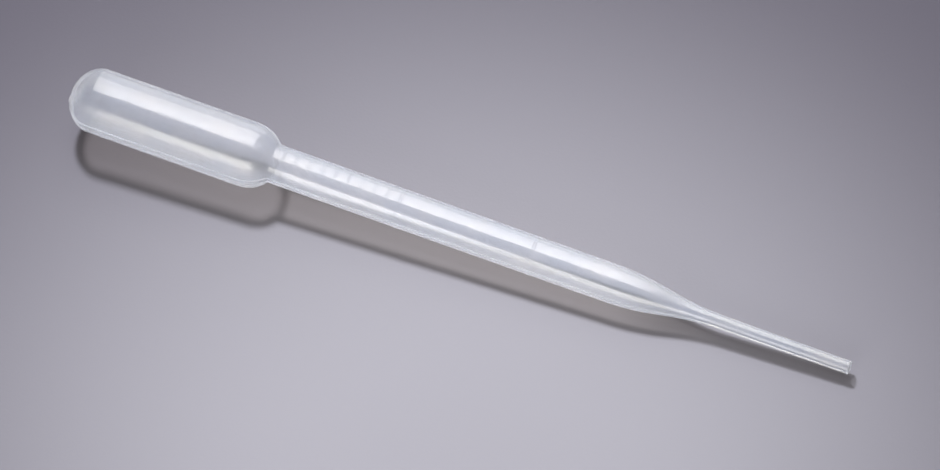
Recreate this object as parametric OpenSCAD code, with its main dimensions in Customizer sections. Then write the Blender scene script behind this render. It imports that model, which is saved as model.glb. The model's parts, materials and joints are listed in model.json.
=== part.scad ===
// Plastic dropper pipette, one blow-moulded polyethylene piece: a squeeze bulb with a closed round end,
// a graduated stem and a dropper tip with an open mouth. It lies on a table as it comes to rest.
//
// The wall is drawn about the pipette's own axis. A point is [r, s]: r is its distance from the axis, and
// s runs along the axis from the bulb's closed end to the mouth. lying() lays the finished piece on the
// table, with the bulb towards -X, the tip towards +X and the table at z = 0.

/* [Bulb] */
// Outside diameter of the bulb
bulb_diameter = 12.8; // [11:0.1:15]
// Depth of the round closed end
end_depth = 5.5; // [3:0.1:7.5]
// Length of the bulb's straight side
bulb_straight = 31.4; // [18:0.1:40]
// Radius of the shoulder that runs down to the stem
shoulder_radius = 6.8; // [5:0.1:10]
// Fillet in the neck, where the shoulder meets the stem
neck_fillet = 0.6; // [0.3:0.1:1.5]
// Wall of the bulb
bulb_wall = 0.42; // [0.25:0.01:0.7]

/* [Stem] */
// Outside diameter of the stem at the neck
stem_diameter = 7.75; // [6.8:0.05:9.2]
// How much narrower the stem is where its taper starts
stem_draft = 0.15; // [0.1:0.05:0.4]
// Length of the stem from the neck to the start of the taper
stem_length = 68.7; // [50:0.1:90]
// Wall of the stem
stem_wall = 0.42; // [0.25:0.01:0.6]

/* [Taper] */
// Length of the taper, from the end of the stem to the start of the tip
taper_length = 23.2; // [14:0.1:40]
// Length of the straight cone in its middle, between the two arcs
taper_cone = 3.2; // [0:0.1:10]

/* [Dropper tip] */
// Outside diameter of the tip where the taper ends
tip_diameter = 2.75; // [2.6:0.05:3.4]
// Outside diameter of the tip at the mouth
mouth_diameter = 2.6; // [2.5:0.05:3.2]
// Length of the tip from the end of the taper to the mouth
tip_length = 25.6; // [15:0.1:50]
// Bore of the tip
tip_bore = 1.75; // [1:0.05:1.9]

/* [Moulded marks] */
// Volume between two graduation rings, in millilitres
ring_volume = 1; // [0.5:0.5:2]
// Width of a graduation ring
ring_width = 0.4; // [0.2:0.05:0.8]
// Height of a graduation ring
ring_height = 0.08; // [0.05:0.01:0.2]
// Parts of a step that the short bars between the last ring and the neck mark
bars_per_step = 10; // [2:1:10]
// Width of a bar, along the stem
bar_width = 0.35; // [0.2:0.05:0.8]
// Height of a bar
bar_height = 0.1; // [0.05:0.01:0.2]
// Degrees that a bar reaches round the stem, centred on its upper side
bar_sweep = 48; // [20:1:180]
// Width of the line that the two halves of the mould leave along both sides
parting_width = 0.3; // [0.2:0.05:0.6]
// Height of that line
parting_height = 0.08; // [0.05:0.01:0.2]
// Length of the pinched weld across the closed end
weld_length = 5; // [3:0.1:8]
// Width of the pinched weld
weld_width = 0.7; // [0.4:0.05:1.2]
// Height of the pinched weld over the closed end
weld_height = 0.3; // [0.1:0.05:0.6]

/* [Hidden] */
$fn = 96;

// Degrees that one straight step of a rounding turns through, at most
end_step = 5;
fillet_step = 15;
taper_step = 1;
// How far a ring reaches into the wall that carries it
ring_root = 0.1;
// How far the cut that opens the mouth runs past it
mouth_overrun = 1;
// Cubic millimetres between two rings, and between two bars
ring_step = ring_volume * 1000;
bar_step = ring_step / bars_per_step;

bulb_r = bulb_diameter / 2;
stem_r = stem_diameter / 2;
stem_end_r = stem_r - stem_draft / 2;
tip_r = tip_diameter / 2;
mouth_r = mouth_diameter / 2;
bore_r = tip_bore / 2;

// How much the stem's side closes in on the axis for each millimetre along it
stem_closing = (stem_r - stem_end_r) / stem_length;

function last(points) = points[len(points) - 1];
function sum(numbers) = numbers * [for (n = numbers) 1];

// Points on a circle's arc, from angle a to angle b
function arc(centre, radius, a, b, step) =
    let (n = ceil(abs(b - a) / step))
    [for (i = [0:n]) let (t = a + (b - a) * i / n) centre + radius * [cos(t), sin(t)]];

// The round closed end, from the axis to the side: half an ellipse as wide as the bulb
function round_end(side_r, depth) =
    [for (t = [0:end_step:90 - end_step]) [side_r * sin(t), end_depth - depth * cos(t)]];

// Centre of the fillet that touches both the shoulder's arc and the stem's side
function neck_centre(side_r, shoulder, fillet, neck_r) =
    let (rise = neck_r + fillet - (side_r - shoulder))
    [neck_r + fillet, shoulder_s + sqrt(pow(shoulder + fillet, 2) - pow(rise, 2))];

// The shoulder and the neck, tangent to the bulb's side, to each other and to the stem
function shoulder_and_neck(side_r, shoulder, fillet, neck_r) =
    let (shoulder_centre = [side_r - shoulder, shoulder_s])
    let (fillet_centre = neck_centre(side_r, shoulder, fillet, neck_r))
    let (reach = fillet_centre - shoulder_centre)
    let (turn = atan2(reach[1], reach[0]))
    concat(
        arc(shoulder_centre, shoulder, 0, turn, end_step),
        arc(fillet_centre, fillet, 180 + turn, 180, fillet_step)
    );

// The angle of the taper's cone, and the radius of the two arcs that lead into it and out of it
function taper_angle(from_r, to_r) = 2 * atan((from_r - to_r) / (taper_length + taper_cone));
function taper_radius(angle) = (taper_length - taper_cone * cos(angle)) / (2 * sin(angle));

// The taper: an arc off the stem, a cone, and the same arc turned about into the tip
function taper(from_r, to_r) =
    let (angle = taper_angle(from_r, to_r))
    let (radius = taper_radius(angle))
    concat(
        arc([from_r - radius, taper_s], radius, 0, angle, taper_step),
        arc([to_r + radius, tip_s], radius, 180 + angle, 180, taper_step)
    );

// Places along the axis
shoulder_s = end_depth + bulb_straight;
neck_s = neck_centre(bulb_r, shoulder_radius, neck_fillet, stem_r)[1];
taper_s = neck_s + stem_length;
tip_s = taper_s + taper_length;
mouth_s = tip_s + tip_length;

// The mould's side of the wall, from the closed end to the mouth
outer_wall = concat(
    round_end(bulb_r, end_depth),
    shoulder_and_neck(bulb_r, shoulder_radius, neck_fillet, stem_r),
    taper(stem_end_r, tip_r),
    [[mouth_r, mouth_s]]
);

// The blown side of the wall, from the stem to the mouth and then as a whole
inner_front = concat(taper(stem_end_r - stem_wall, bore_r), [[bore_r, mouth_s]]);
inner_wall = concat(
    round_end(bulb_r - bulb_wall, end_depth - bulb_wall),
    shoulder_and_neck(
        bulb_r - bulb_wall, shoulder_radius - bulb_wall, neck_fillet + stem_wall, stem_r - stem_wall
    ),
    inner_front
);

// Outside radius of the stem at a place along the axis
function stem_r_at(s) = stem_r - (s - neck_s) * stem_closing;

// Volume inside the blown side between two of its points, a slice of a cone
function slice(a, b) = PI / 3 * (b[1] - a[1]) * (a[0] * a[0] + a[0] * b[0] + b[0] * b[0]);

// Volume of the taper and the tip, and the volume from a place along the stem to the mouth
front_volume = sum([for (i = [1:len(inner_front) - 1]) slice(inner_front[i - 1], inner_front[i])]);
function volume_from(s) = front_volume + slice([stem_r_at(s) - stem_wall, s], inner_front[0]);

// Place along the stem up to which a volume fills the pipette from its mouth. The stem's inside is a
// slow cone, so its volume grows with the cube of its radius.
function level(volume) =
    let (rest = volume - front_volume)
    let (start_r = inner_front[0][0])
    taper_s - (pow(pow(start_r, 3) + 3 * stem_closing * rest / PI, 1 / 3) - start_r) / stem_closing;

// The first and the last whole step of volume whose level lies on the stem and has room for a ring
first_ring = ceil(volume_from(taper_s - ring_width) / ring_step);
last_ring = floor(volume_from(neck_s + ring_width) / ring_step);

// The bars carry on from the last ring to the last one that has room before the neck
first_bar = last_ring * bars_per_step + 1;
last_bar = floor(volume_from(neck_s + ring_width) / bar_step);

// The weld's crest is an arc over the axis, from the closed end's wall on one side to the other
weld_reach = weld_length / 2;
weld_rise = weld_height + end_depth * (1 - sqrt(1 - pow(weld_reach / bulb_r, 2)));
weld_crest = (pow(weld_reach, 2) + pow(weld_rise, 2)) / (2 * weld_rise);

// The pipette rests on the shoulder's arc, and in front on the arc that starts the taper or, where the tip
// hangs lower, on the mouth's edge. The line that touches both rests is the table's, and its slope is the
// tilt of the axis. An edge counts as an arc with no radius.
rear_centre = [bulb_r - shoulder_radius, shoulder_s];
front_radius = taper_radius(taper_angle(stem_end_r, tip_r));
function tilt_onto(centre, radius) =
    let (span = centre - rear_centre)
    asin((shoulder_radius - radius) / norm(span)) - atan2(span[0], span[1]);
tilt = min(
    tilt_onto([stem_end_r - front_radius, taper_s], front_radius),
    tilt_onto([mouth_r, mouth_s], 0)
);
axis_height = shoulder_radius + rear_centre[0] * cos(tilt) + rear_centre[1] * sin(tilt);

// Where the lying piece begins and ends along X, before it is centred
rear_x = -weld_height * cos(tilt);
front_x = mouth_s * cos(tilt) + mouth_r * sin(tilt);

// The mould's side of the wall on both sides of the axis, widened by a margin
function both_sides(margin) =
    let (n = len(outer_wall))
    concat(
        [for (p = outer_wall) [p[0] + margin, p[1]]],
        [for (i = [1:n]) [-outer_wall[n - i][0] - margin, outer_wall[n - i][1]]]
    );

// A solid of revolution that fills a wall and runs past its mouth
module filled(wall, overrun) {
    rotate_extrude()
        polygon(concat(wall, [[last(wall)[0], mouth_s + overrun], [0, mouth_s + overrun]]));
}

module graduation_ring(s) {
    translate([0, 0, s - ring_width / 2])
        rotate_extrude()
            translate([stem_r_at(s) - ring_root, 0])
                square([ring_root + ring_height, ring_width]);
}

// A piece of a ring, on the side that lies uppermost
module graduation_bar(s) {
    rotate([0, 0, 180 - bar_sweep / 2])
        translate([0, 0, s - bar_width / 2])
            rotate_extrude(angle = bar_sweep)
                translate([stem_r_at(s) - ring_root, 0])
                    square([ring_root + bar_height, bar_width]);
}

// The line where the halves of the mould met: one thin plate, of which only the edges stand out
module parting_line() {
    rotate([90, 0, 90])
        linear_extrude(parting_width, center = true)
            polygon(both_sides(parting_height));
}

// The weld where the mould pinched the tube shut: a slab with a round crest
module pinched_weld() {
    intersection() {
        translate([-weld_width / 2, -weld_reach, -weld_height])
            cube([weld_width, weld_length, weld_rise]);
        translate([0, 0, weld_crest - weld_height])
            sphere(weld_crest);
    }
}

// The whole wall, upright on its closed end
module shell() {
    difference() {
        union() {
            filled(outer_wall, 0);
            parting_line();
            pinched_weld();
            for (i = [first_ring:1:last_ring]) graduation_ring(level(i * ring_step));
            for (i = [first_bar:1:last_bar]) graduation_bar(level(i * bar_step));
        }
        filled(inner_wall, mouth_overrun);
    }
}

module lying() {
    translate([-(rear_x + front_x) / 2, 0, axis_height])
        rotate([0, 90 + tilt, 0])
            children();
}

module pipette() {
    color("#e9edf2") lying() shell();
}

pipette();
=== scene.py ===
# %% [markdown]
# # A plastic dropper pipette
# A disposable pipette for a biology lab: a squeeze bulb, a graduated stem and a drawn-out tip, blown in
# one piece from soft translucent polyethylene. This lesson spins its thin wall around the axis of the CAD
# model, raises the marks that the mould leaves on it, gives it a milky, see-through plastic, and lights
# it as a small object on a grey table.

# %% Load the frame
import json
from math import asin, atan2, cos, degrees, hypot, pi, radians, sin, sqrt, tan

import bpy
from mathutils import Matrix, Vector


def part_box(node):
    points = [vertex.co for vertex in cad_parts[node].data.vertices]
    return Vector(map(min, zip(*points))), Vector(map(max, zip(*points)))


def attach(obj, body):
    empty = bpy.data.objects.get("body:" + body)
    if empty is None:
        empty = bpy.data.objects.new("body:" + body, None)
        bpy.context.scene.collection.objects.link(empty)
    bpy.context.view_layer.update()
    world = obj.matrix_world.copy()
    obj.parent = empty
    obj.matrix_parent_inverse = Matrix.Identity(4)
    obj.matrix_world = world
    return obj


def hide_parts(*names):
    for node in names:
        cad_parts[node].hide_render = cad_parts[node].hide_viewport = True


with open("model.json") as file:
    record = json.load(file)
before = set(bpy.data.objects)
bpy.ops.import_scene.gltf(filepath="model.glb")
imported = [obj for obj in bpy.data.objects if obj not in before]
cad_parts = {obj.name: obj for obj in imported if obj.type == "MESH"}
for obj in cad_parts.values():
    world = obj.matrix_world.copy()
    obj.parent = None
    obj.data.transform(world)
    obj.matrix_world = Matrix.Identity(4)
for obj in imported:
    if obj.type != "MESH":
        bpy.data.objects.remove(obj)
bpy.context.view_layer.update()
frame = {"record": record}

# %% [markdown]
# ## Where the pipette lies
# The record's one mount is the bore of the tip. Its place is the mouth, and its direction is the pipette's
# own axis, which slopes a little because the bulb is thicker than the stem. Everything else is measured
# along that axis, from the bulb's closed end, so a point of the wall is only two numbers: r, how far it is
# from the axis, and s, how far along the axis it is.

# %% The axis and the sizes
mm = 0.001
low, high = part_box("pipette")
mount = frame["record"]["mounts"][0]
mouth = Vector(mount["pos_m"])
forward = Vector(mount["axis"]).normalized()
upward = Vector((-forward.z, 0, forward.x))

parting_height = 0.08 * mm
bulb_r = (high[1] - low[1]) / 2 - parting_height
end_depth = 5.5 * mm
bulb_straight = 31.4 * mm
shoulder_radius = 6.8 * mm
neck_fillet = 0.6 * mm
wall = 0.42 * mm
closed_wall = 0.6 * mm
bead_r = 0.4 * mm

stem_r = 3.875 * mm
stem_end_r = 3.8 * mm
stem_length = 68.7 * mm

taper_length = 23.2 * mm
taper_cone = 3.2 * mm
tip_r = 1.375 * mm
mouth_r = 1.3 * mm
bore_r = mount["dims"]["r_mm"] * mm
tip_length = mount["dims"]["length_mm"] * mm
lip = 0.2 * mm
print("the axis slopes by", round(degrees(asin(-forward.z)), 2), "degrees")
print("the bulb is", round(2 * bulb_r / mm, 2), "mm wide and the bore", round(2 * bore_r / mm, 2), "mm")

# %% [markdown]
# ## Drawing the wall's outline
# The bulb is a round closed end, a straight side, and a shoulder whose arc runs into the stem through a
# small fillet. The far end of the stem is drawn out into the tip on an S of two equal arcs with a short
# cone between them. It could be made from cylinders with bevelled ends, but then the arcs would only be
# near the mould's own. One outline that is spun round the axis keeps every arc true, and the same
# functions draw the outside of the wall and, with other radii, its inside.


# %% Functions for the outline
def arc(centre, radius, first, last, step):
    """Points (r, s) on an arc, about step degrees apart."""
    count = max(2, round(degrees(abs(last - first)) / step))
    turns = [first + (last - first) * i / count for i in range(count + 1)]
    return [(centre[0] + radius * cos(t), centre[1] + radius * sin(t)) for t in turns]


def round_end(side, depth):
    """The closed end, half an ellipse, with its points closest together near the axis."""
    turns = [1.6 * i for i in range(15)] + [3 * i for i in range(8, 30)]
    return [(side * sin(radians(t)), end_depth - depth * cos(radians(t))) for t in turns]


def shoulder_and_neck(side, shoulder, fillet, neck):
    """The shoulder's arc and the fillet that leads it into the stem."""
    shoulder_s = end_depth + bulb_straight
    rise = neck + fillet - (side - shoulder)
    along = sqrt((shoulder + fillet) ** 2 - rise**2)
    turn = atan2(along, rise)
    shoulder_arc = arc((side - shoulder, shoulder_s), shoulder, 0, turn, 2.5)
    return shoulder_arc + arc((neck + fillet, shoulder_s + along), fillet, pi + turn, pi, 9)


def taper(wide, narrow, start):
    """An arc off the stem, a short cone, and the same arc turned about into the tip."""
    turn = 2 * atan2(wide - narrow, taper_length + taper_cone)
    radius = (taper_length - taper_cone * cos(turn)) / (2 * sin(turn))
    first_arc = arc((wide - radius, start), radius, 0, turn, 0.9)
    return first_arc + arc((narrow + radius, start + taper_length), radius, pi + turn, pi, 0.9)


def rows_between(first, last, count):
    """Points on the straight side between two others."""
    steps = [i / count for i in range(1, count)]
    return [(first[0] + (last[0] - first[0]) * i, first[1] + (last[1] - first[1]) * i) for i in steps]


bulb_outside = round_end(bulb_r, end_depth)
bulb_outside += shoulder_and_neck(bulb_r, shoulder_radius, neck_fillet, stem_r)
neck_s = bulb_outside[-1][1]
taper_s = neck_s + stem_length
length = taper_s + taper_length + tip_length
closed_end = mouth - forward * length
print("the neck is at", round(neck_s / mm, 2), "and the mouth at", round(length / mm, 2), "mm")

# %% [markdown]
# ## The inside, and where the volumes are marked
# The inside follows the outside at the thickness of the wall, down to the bore. Only at the closed end is
# the wall thicker, where the mould pinched the tube shut and left a small bead inside. The inside is drawn
# before the marks on the stem, because they belong to it: a ring stands where a whole millilitre fills
# the pipette from its mouth, and ten short bars to the millilitre go on from the last ring to the neck.
# The inside of the stem is a slow cone, so its volume grows with the cube of its radius.

# %% The inside and the levels
plain_rows = rows_between((stem_r, neck_s), (stem_end_r, taper_s), 30)
front_inside = taper(stem_end_r - wall, bore_r, taper_s)
front_inside += rows_between((bore_r, length - tip_length), (bore_r, length), 8) + [(bore_r, length)]
inside = arc((0, closed_wall), bead_r, pi / 2, 0, 15)
inside += [(r, s) for r, s in round_end(bulb_r - wall, end_depth - closed_wall) if r > 1.1 * bead_r]
inside += shoulder_and_neck(bulb_r - wall, shoulder_radius - wall, neck_fillet + wall, stem_r - wall)
inside += [(r - wall, s) for r, s in plain_rows] + front_inside

ml = 1000 * mm**3
closing = (stem_r - stem_end_r) / stem_length
slices = zip(front_inside, front_inside[1:])
front_volume = sum(pi / 3 * (b[1] - a[1]) * (a[0] ** 2 + a[0] * b[0] + b[0] ** 2) for a, b in slices)


def level(volume):
    """Where a volume, measured from the mouth, ends on the stem."""
    start_r = stem_end_r - wall
    end_r = (start_r**3 + 3 * closing * (volume - front_volume) / pi) ** (1 / 3)
    return taper_s - (end_r - start_r) / closing


rings = [level(2 * ml), level(1 * ml)]
bars = [level(tenth * ml / 10) for tenth in range(21, 30)]
print("rings in mm:", [round(s / mm, 2) for s in rings])
print("bars in mm:", [round(s / mm, 2) for s in bars])

# %% [markdown]
# ## The stem with its rings
# The two rings are low and round, like every mark that a mould cuts into soft plastic. A ring could be a
# torus sunk into the stem, but then light would meet walls inside it, so the rings are part of the outline.
# Their side is drawn once, in ring widths along and ring heights up. The outline also gets the rows of
# points that the bars are pulled out of later, and a few plain rows beside the marks, so that the shading
# of a ring doesn't run out over the smooth stem.

# %% The whole outline
ring_width = 0.6 * mm
ring_height = 0.1 * mm
ring_side = [(-1, 0), (-0.5, 0), (-0.25, 0.75), (0, 1), (0.25, 0.75), (0.5, 0), (1, 0)]
bar_rows = [0.1 * mm * i for i in range(-4, 5)]

marks = [(s + ring_width * along, ring_height * rise) for s in rings for along, rise in ring_side]
marks += [(s + row, 0) for s in bars for row in bar_rows]
marks += [(s, 0) for _, s in plain_rows if min(abs(s - mark) for mark, _ in marks) > ring_width]
outside = bulb_outside + [(stem_r - closing * (s - neck_s) + rise, s) for s, rise in sorted(marks)]
outside += taper(stem_end_r, tip_r, taper_s)
outside += rows_between((tip_r, length - tip_length), (mouth_r, length), 8)
outside += arc((mouth_r - lip, length - lip), lip, 0, pi / 2, 22.5)
outline = outside + inside[::-1]
print("the outline has", len(outline), "points")

# %% [markdown]
# ## Spinning the wall
# A point is extruded along the outline and the line is spun once round the axis, as a lathe would turn it.
# A Screw modifier could spin it too, but its steps are all alike. The mould's halves part at the two sides,
# where a fine line stands out, so this spin takes small steps there and larger ones between. The last step
# meets the first, and the poles of the closed end fall together, so the doubles are merged. Then the
# normals are made to point out of the plastic, which on the inside of the wall is towards the axis.

# %% Spin the wall
beside_line = radians(6)
quarter = pi / 2 - beside_line
middle = (mouth + closed_end) / 2


def place(r, s):
    """Where a point of the outline stands before it is spun, straight over the axis."""
    return closed_end + forward * s + upward * r


bpy.ops.object.select_all(action="DESELECT")
bpy.ops.mesh.primitive_plane_add(size=mm)
pipette = bpy.context.active_object
pipette.name = "pipette_wall"
bpy.context.tool_settings.mesh_select_mode = (True, False, False)
bpy.ops.object.mode_set(mode="EDIT")
bpy.ops.mesh.merge(type="CENTER")
here = place(*outline[0])
bpy.ops.transform.translate(value=here)
for r, s in outline[1:]:
    there = place(r, s)
    bpy.ops.mesh.extrude_vertices_move(TRANSFORM_OT_translate={"value": there - here})
    here = there
bpy.ops.mesh.select_all(action="SELECT")
line, face = (12, 2 * beside_line), (56, 2 * quarter)
for steps, turn in ((28, quarter), line, face, line, (28, quarter)):
    bpy.ops.mesh.spin(steps=steps, angle=turn, center=middle, axis=forward)
bpy.ops.mesh.select_all(action="SELECT")
bpy.ops.mesh.remove_doubles(threshold=0.002 * mm)
bpy.ops.mesh.normals_make_consistent(inside=False)
bpy.ops.object.mode_set(mode="OBJECT")
print("the wall has", len(pipette.data.polygons), "faces")

# %% [markdown]
# ## Where the mould's marks run
# Three kinds of mark stand out of the skin: the fine line along both sides where the mould's halves met,
# the weld across the closed end where they pinched the tube shut, and the bars on the stem. Each is a row
# of points that the outline or the spin has already put in place, so a short function for each can tell
# its crest by how far a point is from the axis, how far along it, and how far round.

# %% Find the marks
weld_reach = 2.3 * mm
bar_sweep = radians(48)
touching = 0.01 * mm
same_turn = 0.002


def about_axis(point):
    """How far a point is from the axis, how far along it, and its turn from straight up."""
    along = (point - closed_end).dot(forward)
    off = point - closed_end - forward * along
    return off.length, along, atan2(off.y, off.dot(upward))


def at_side(r, turn):
    """True on the line where the mould's halves met, and on the axis."""
    return r < touching or abs(abs(turn) - pi / 2) < same_turn


def on_skin(r, s):
    """True on the outside of the wall."""
    if s < end_depth:
        return hypot(r / bulb_r, (end_depth - s) / end_depth) > 1 - wall / (2 * bulb_r)
    return min(hypot(r - inner_r, s - inner_s) for inner_r, inner_s in inside) > touching / 2


def on_parting(r, s, turn):
    """True on the crest of the parting line."""
    return at_side(r, turn) and s < length - lip


def on_weld(r, s, turn):
    """True on the crest of the weld."""
    return at_side(r, turn) and r < weld_reach and s < end_depth / 2


def on_bar(r, s, turn):
    """True on the crest of a bar."""
    return abs(turn) < bar_sweep / 2 and any(abs(s - bar) < touching for bar in bars)


print("a bar reaches", round(bar_sweep * stem_r / mm, 2), "mm round the stem")

# %% [markdown]
# ## Raising them
# By hand a mark is pulled out of the skin along its crest, with proportional editing to round its flanks,
# and the code does the same. The falloff follows the skin, so the inside of the wall stays as it was. How
# far it goes along the skin isn't quite the same in every run: on the flanks some dozens of points, at
# times a few hundred, come out differently by less than 0.1 mm. A bump in the material would be less work,
# but it would leave the outline of the stem and of the closed end straight where the real one has a nub.


# %% Raise the marks
def pick(crest):
    """Selects only the points of a crest on the skin, and goes on in edit mode."""
    bpy.ops.object.mode_set(mode="EDIT")
    bpy.ops.mesh.select_all(action="DESELECT")
    bpy.ops.object.mode_set(mode="OBJECT")
    for vertex in pipette.data.vertices:
        r, s, turn = about_axis(vertex.co)
        vertex.select = crest(r, s, turn) and on_skin(r, s)
    print(crest.__name__, "picked", sum(vertex.select for vertex in pipette.data.vertices), "points")
    bpy.ops.object.mode_set(mode="EDIT")


weld_height = 0.16 * mm
bar_height = 0.1 * mm
pull = {"use_proportional_edit": True, "use_proportional_connected": True}
pull["proportional_edit_falloff"] = "SMOOTH"

pick(on_parting)
bpy.ops.transform.shrink_fatten(value=parting_height, proportional_size=0.25 * mm, **pull)
pick(on_weld)
weld_lift = -forward * (weld_height - parting_height)
bpy.ops.transform.translate(value=weld_lift, proportional_size=0.8 * mm, **pull)
pick(on_bar)
bpy.ops.transform.shrink_fatten(value=bar_height, proportional_size=0.35 * mm, **pull)
bpy.ops.object.mode_set(mode="OBJECT")
bpy.ops.object.shade_smooth_by_angle(angle=radians(50))
print("the marks are up in a wall of", len(pipette.data.vertices), "points")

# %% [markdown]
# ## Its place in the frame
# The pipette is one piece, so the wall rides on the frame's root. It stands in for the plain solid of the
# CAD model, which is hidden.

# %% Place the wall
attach(pipette, "root")
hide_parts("pipette")
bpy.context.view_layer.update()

# %% [markdown]
# ## A group of nodes for grain
# Nothing real is quite even. The plastic has cloudy patches and faint streaks, and the paper of the table
# has fibres. They are the same noise, stretched or not, so one group of nodes makes it for both. The
# helpers after it add nodes to whichever tree nodes and links belong to at that moment.

# %% Grain
grain = bpy.data.node_groups.new("grain", "ShaderNodeTree")
grain.interface.new_socket("Repeats", in_out="INPUT", socket_type="NodeSocketVector")
grain.interface.new_socket("Detail", in_out="INPUT", socket_type="NodeSocketFloat")
grain.interface.new_socket("Value", in_out="OUTPUT", socket_type="NodeSocketFloat")
given = grain.nodes.new("NodeGroupInput")
made = grain.nodes.new("NodeGroupOutput")
coordinates = grain.nodes.new("ShaderNodeTexCoord")
repeated = grain.nodes.new("ShaderNodeMapping")
texture = grain.nodes.new("ShaderNodeTexNoise")
texture.inputs["Scale"].default_value = 1
grain.links.new(coordinates.outputs["Object"], repeated.inputs["Vector"])
grain.links.new(given.outputs["Repeats"], repeated.inputs["Scale"])
grain.links.new(repeated.outputs["Vector"], texture.inputs["Vector"])
grain.links.new(given.outputs["Detail"], texture.inputs["Detail"])
grain.links.new(texture.outputs["Fac"], made.inputs["Value"])
print("the group has", len(grain.nodes), "nodes")


# %% Helpers for nodes
def noise(stretch, detail):
    """Grain whose specks are as long, in millimetres, as stretch says along X, Y and Z."""
    group = nodes.new("ShaderNodeGroup")
    group.node_tree = grain
    group.inputs["Repeats"].default_value = [1 / (mm * size) for size in stretch]
    group.inputs["Detail"].default_value = detail
    return group.outputs["Value"]


def between(value, start, end, first, last):
    """A number that goes from first to last while the value goes from start to end."""
    change = nodes.new("ShaderNodeMapRange")
    for name, number in (("From Min", start), ("From Max", end), ("To Min", first), ("To Max", last)):
        change.inputs[name].default_value = number
    links.new(value, change.inputs["Value"])
    return change.outputs["Result"]


def ramp(value, *stops):
    """A colour that eases from one stop to the other."""
    colours = nodes.new("ShaderNodeValToRGB")
    colours.color_ramp.interpolation = "EASE"
    for element, (position, colour) in zip(colours.color_ramp.elements, stops):
        element.position = position
        element.color = (*colour, 1)
    links.new(value, colours.inputs["Fac"])
    return colours.outputs["Color"]


def times(value, factor):
    """A colour or a number, times a number."""
    product = nodes.new("ShaderNodeVectorMath")
    product.operation = "SCALE"
    links.new(value, product.inputs["Vector"])
    links.new(factor, product.inputs["Scale"])
    return product.outputs["Vector"]


def bumps(height, depth):
    """The normals of a skin that is uneven by a depth."""
    bump = nodes.new("ShaderNodeBump")
    bump.inputs["Distance"].default_value = depth
    links.new(height, bump.inputs["Height"])
    return bump.outputs["Normal"]


# %% [markdown]
# ## Places along the pipette
# The finish isn't the same all along. Shade is painted into the colour of the closed end and the narrow
# tip, where light has to pass more plastic, so that they are greyer, and into each ring, which bends the
# light aside. The tip is also less polished, and two places are matt: the scar that the weld left on the
# closed end, and the edge that a blade cut at the mouth. They could be painted on as weights, but a place
# along the axis is one dot product, and a number that changes with it stays sharp at any size.

# %% Numbers along the axis
plastic = bpy.data.materials.new("milky_polyethylene")
plastic.use_nodes = True
nodes, links = plastic.node_tree.nodes, plastic.node_tree.links
where = nodes.new("ShaderNodeTexCoord")
along = nodes.new("ShaderNodeVectorMath")
along.operation = "DOT_PRODUCT"
along.inputs[1].default_value = forward
links.new(where.outputs["Object"], along.inputs[0])
along_start = closed_end.dot(forward)


def on_closed_end(first):
    """A number that goes from first to 1 where the closed end runs into the straight side."""
    start, end = along_start + 0.8 * end_depth, along_start + 1.2 * end_depth
    return between(along.outputs["Value"], start, end, first, 1)


def toward_tip(last):
    """A number that goes from 1 to last while the stem narrows into the tip."""
    start = along_start + taper_s
    return between(along.outputs["Value"], start, start + taper_length, 1, last)


def near(s, factor):
    """A number that is 1, and factor within half a ring's width of s."""
    close = nodes.new("ShaderNodeMath")
    close.operation = "COMPARE"
    close.inputs[1].default_value = along_start + s
    close.inputs[2].default_value = ring_width / 2
    links.new(along.outputs["Value"], close.inputs[0])
    return between(close.outputs["Value"], 0, 1, 1, factor)


print("along the axis the pipette starts at", round(along_start / mm, 2), "mm")

# %% [markdown]
# ## The milky plastic
# Low-density polyethylene is clear plastic full of tiny crystals. Its skin mirrors the lamps softly, and
# light that goes in is scattered inside the wall, more where the wall is seen edge on. So the shader is a
# slightly rough see-through plastic, and a scattering volume fills the wall. Blowing leaves the skin with
# faint streaks along the pipette, which are a bump, and with cloudy patches in its colour and its polish.

# %% Plastic
shader = nodes["Principled BSDF"]
shader.inputs["IOR"].default_value = 1.5
shader.inputs["Transmission Weight"].default_value = 0.97

clouds = noise((9, 5, 5), 3)
cloudy_tint_with_painted_shade = ramp(clouds, (0.3, (0.9, 0.93, 0.99)), (0.7, (0.96, 0.97, 1)))
# Painted shade: the colour is darker towards the closed end, along the tip and at each ring.
painted_ring_shade = 0.98
for factor in (on_closed_end(0.9), toward_tip(0.87), *[near(s, painted_ring_shade) for s in rings]):
    cloudy_tint_with_painted_shade = times(cloudy_tint_with_painted_shade, factor)
links.new(cloudy_tint_with_painted_shade, shader.inputs["Base Color"])
rough = between(clouds, 0.3, 0.7, 0.12, 0.18)
matt = 3
for factor in (toward_tip(1.5), near(0, matt), near(length, matt)):
    rough = times(rough, factor)
links.new(rough, shader.inputs["Roughness"])
links.new(bumps(noise((16, 1.1, 1.1), 2), 0.03 * mm), shader.inputs["Normal"])
pipette.data.materials.clear()
pipette.data.materials.append(plastic)
print("the skin has", len(nodes), "nodes")

# %% [markdown]
# ## The milk, and the shadow
# Two more things belong to the plastic. A lamp's light reaches the floor through four skins, and where it
# strikes them at a slant it is thrown aside, which gives the pale shadow of a clear tube its dark outline.
# A path tracer could find that with caustics, but they are slow and grainy. So the shadow ray meets a
# tinted pane instead, darker where the skin is seen edge on, and darker along the tip, whose wall is thick
# for so narrow a tube. In the same way the volume, which holds the milk, is thinner for shadow rays, as
# real milky plastic passes most of the light on that it scatters.

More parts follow.
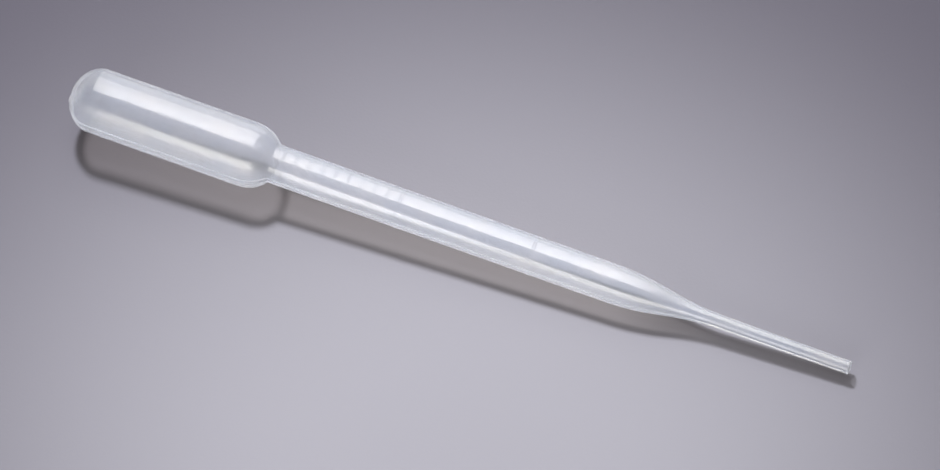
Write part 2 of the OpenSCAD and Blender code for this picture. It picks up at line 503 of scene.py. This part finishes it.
# %% Milk and shadow
is_shadow = nodes.new("ShaderNodeLightPath").outputs["Is Shadow Ray"]
facing = nodes.new("ShaderNodeLayerWeight")
pane = nodes.new("ShaderNodeBsdfTransparent")
pane_tint = ramp(facing.outputs["Facing"], (0.2, (0.916, 0.9, 0.878)), (0.75, (0.4, 0.375, 0.35)))
links.new(times(pane_tint, toward_tip(0.76)), pane.inputs["Color"])
skin_or_pane = nodes.new("ShaderNodeMixShader")
links.new(is_shadow, skin_or_pane.inputs["Fac"])
links.new(shader.outputs["BSDF"], skin_or_pane.inputs[1])
links.new(pane.outputs["BSDF"], skin_or_pane.inputs[2])
links.new(skin_or_pane.outputs["Shader"], nodes["Material Output"].inputs["Surface"])

density, shadow_density = 420, 50
milk = nodes.new("ShaderNodeVolumeScatter")
milk.inputs["Color"].default_value = 0.82, 0.88, 1, 1
links.new(between(is_shadow, 0, 1, density, shadow_density), milk.inputs["Density"])
links.new(milk.outputs["Volume"], nodes["Material Output"].inputs["Volume"])
cycles = bpy.context.scene.cycles
cycles.volume_bounces = 4
cycles.caustics_reflective = False
cycles.caustics_refractive = False
print("milk and shadow are on")

# %% [markdown]
# ## The table
# The table is a plain grey sheet with a painted pool of light: its colour falls off softly from a lighter
# middle, as a paper sweep under one small lamp does, so the pale plastic stands out from it, and a fine
# grain keeps it from looking like empty space.

# %% Table
bpy.ops.object.select_all(action="DESELECT")
bpy.ops.mesh.primitive_plane_add(size=3)
table = bpy.context.active_object
table.name = "table"
grey = bpy.data.materials.new("grey_paper")
grey.use_nodes = True
nodes, links = grey.node_tree.nodes, grey.node_tree.links
shader = nodes["Principled BSDF"]
shader.inputs["Roughness"].default_value = 0.8
where = nodes.new("ShaderNodeTexCoord")
# Painted pool of light: the paper's colour is lightest round this point and darker away from it.
painted_pool_centre = 21 * mm, -51 * mm, 0
from_painted_pool_centre = nodes.new("ShaderNodeVectorMath")
from_painted_pool_centre.operation = "DISTANCE"
from_painted_pool_centre.inputs[1].default_value = painted_pool_centre
links.new(where.outputs["Object"], from_painted_pool_centre.inputs[0])
painted_pool_fade = between(from_painted_pool_centre.outputs["Value"], 24 * mm, 156 * mm, 0, 1)
paper_with_painted_pool = ramp(painted_pool_fade, (0, (0.448, 0.437, 0.498)), (1, (0.11, 0.102, 0.135)))
links.new(paper_with_painted_pool, shader.inputs["Base Color"])
links.new(bumps(noise((0.6, 0.6, 0.6), 3), 0.02 * mm), shader.inputs["Normal"])
table.data.materials.append(grey)
print("table:", table.name)

# %% [markdown]
# ## The camera
# The camera looks down at the pipette from the front, turned so that the pipette runs from the upper left
# to the lower right, with a long lens that keeps its two sides parallel. Aiming it by hand would do, but
# three directions at right angles say exactly where it stands and which way is up.

# %% Camera
heading = radians(22.39)
height = radians(54)
rightward = Vector((cos(heading), sin(heading), 0))
backward = Vector((sin(heading) * cos(height), -cos(heading) * cos(height), sin(height)))
above = backward.cross(rightward)
aim = Vector((1.77, 2.81, 0)) * mm
camera_distance = 1.2
lens = bpy.data.cameras.new("camera")
lens.lens = 240.7
lens.sensor_width = 36
lens.clip_start = 0.01
camera = bpy.data.objects.new("camera", lens)
bpy.context.collection.objects.link(camera)
facing_pipette = Matrix((rightward, above, backward)).transposed().to_4x4()
camera.matrix_world = Matrix.Translation(aim + backward * camera_distance) @ facing_pipette
bpy.context.scene.camera = camera
print("the camera stands at", tuple(round(value, 3) for value in camera.location))

# %% [markdown]
# ## The lights
# A small studio: one key lamp above and behind gives the shadow, and two large softboxes, one overhead
# and one in front, fill it. What makes a clear tube readable is what it mirrors, so the long bands on it
# are set apart from the light on the table. Cards with their own brightness hang before the softboxes, and
# they show only in what is mirrored or seen through, which is the plastic and hardly the dull table. Two
# low lamps, in front and behind, light only the milk, which makes the edges of the bulb glow.


# %% Functions for the lights
def softbox(name, right, elevation, distance, size, watts, sees):
    """A softbox that faces the pipette. right is the cosine along X, and the elevation starts at the
    front and runs past the zenith. sees says who sees it: the table, a mirror or the milk."""
    flat = sqrt(1 - right**2)
    away = Vector((right, -cos(radians(elevation)) * flat, sin(radians(elevation)) * flat))
    across = (Vector((1, 0, 0)) - away * right).normalized()
    lamp = bpy.data.lights.new(name, "AREA")
    lamp.shape = "RECTANGLE"
    lamp.size, lamp.size_y = size
    lamp.energy = watts
    light = bpy.data.objects.new(name, lamp)
    bpy.context.collection.objects.link(light)
    turned = Matrix((across, away.cross(across), away)).transposed().to_4x4()
    light.matrix_world = Matrix.Translation(away * distance) @ turned
    light.visible_diffuse = "table" in sees
    light.visible_glossy = "mirror" in sees
    light.visible_transmission = "mirror" in sees
    light.visible_volume_scatter = "milk" in sees
    print(name, "at", tuple(round(value, 2) for value in light.location), "with", round(watts, 1), "W")
    return lamp


def card(name, right, width, first, last, brightness, colour):
    """A card between two elevations, nearer than the softboxes, that only a mirror sees."""
    distance = 0.9
    tall = 2 * distance * tan(radians(last - first) / 2)
    watts = brightness * pi * width * tall
    softbox(name, right, (first + last) / 2, distance, (width, tall), watts, "mirror").color = colour


# %% Lights
white, cream = (1, 0.97, 0.93), (1, 0.96, 0.89)
softbox("key", -0.38, 122, 1.2, (0.14, 0.14), 15, "table")
softbox("overhead", -0.38, 119, 1, (0.52, 1), 1.5, "table")
softbox("front", -0.06, 17.5, 1, (0.56, 0.62), 4, "table").color = white
card("overhead_card", -0.1, 0.58, 88, 120, 4.9, white)
card("overhead_card_middle", -0.1, 0.58, 120, 144, 3.9, white)
card("overhead_card_back", -0.1, 0.58, 144, 180, 0.8, white)
card("front_card_low", 0.05, 0.81, -2, 13, 3.4, cream)
card("front_card_high", 0.05, 0.81, 13, 28, 4.5, cream)
softbox("front_glow", -0.2, 2, 1.2, (0.14, 0.14), 29, "milk")
softbox("back_glow", -0.2, 163, 1.2, (0.14, 0.14), 19, "milk")

# %% [markdown]
# ## The room
# The room around the studio is dim and slightly blue. Its light on the table stays low, and what the
# plastic shows of it is brighter, as of a pale wall further off.

# %% Room
room = bpy.data.worlds.new("studio")
bpy.context.scene.world = room
room.use_nodes = True
nodes, links = room.node_tree.nodes, room.node_tree.links
nodes["Background"].inputs["Color"].default_value = 0.85, 0.9, 1, 1
light_path = nodes.new("ShaderNodeLightPath")
seen = light_path.outputs["Is Camera Ray"]
for ray in ("Is Glossy Ray", "Is Transmission Ray"):
    either = nodes.new("ShaderNodeMath")
    either.operation = "MAXIMUM"
    links.new(seen, either.inputs[0])
    links.new(light_path.outputs[ray], either.inputs[1])
    seen = either.outputs["Value"]
links.new(between(seen, 0, 1, 0.08, 0.4), nodes["Background"].inputs["Strength"])
bpy.context.scene.view_settings.view_transform = "Standard"
print("room:", room.name)
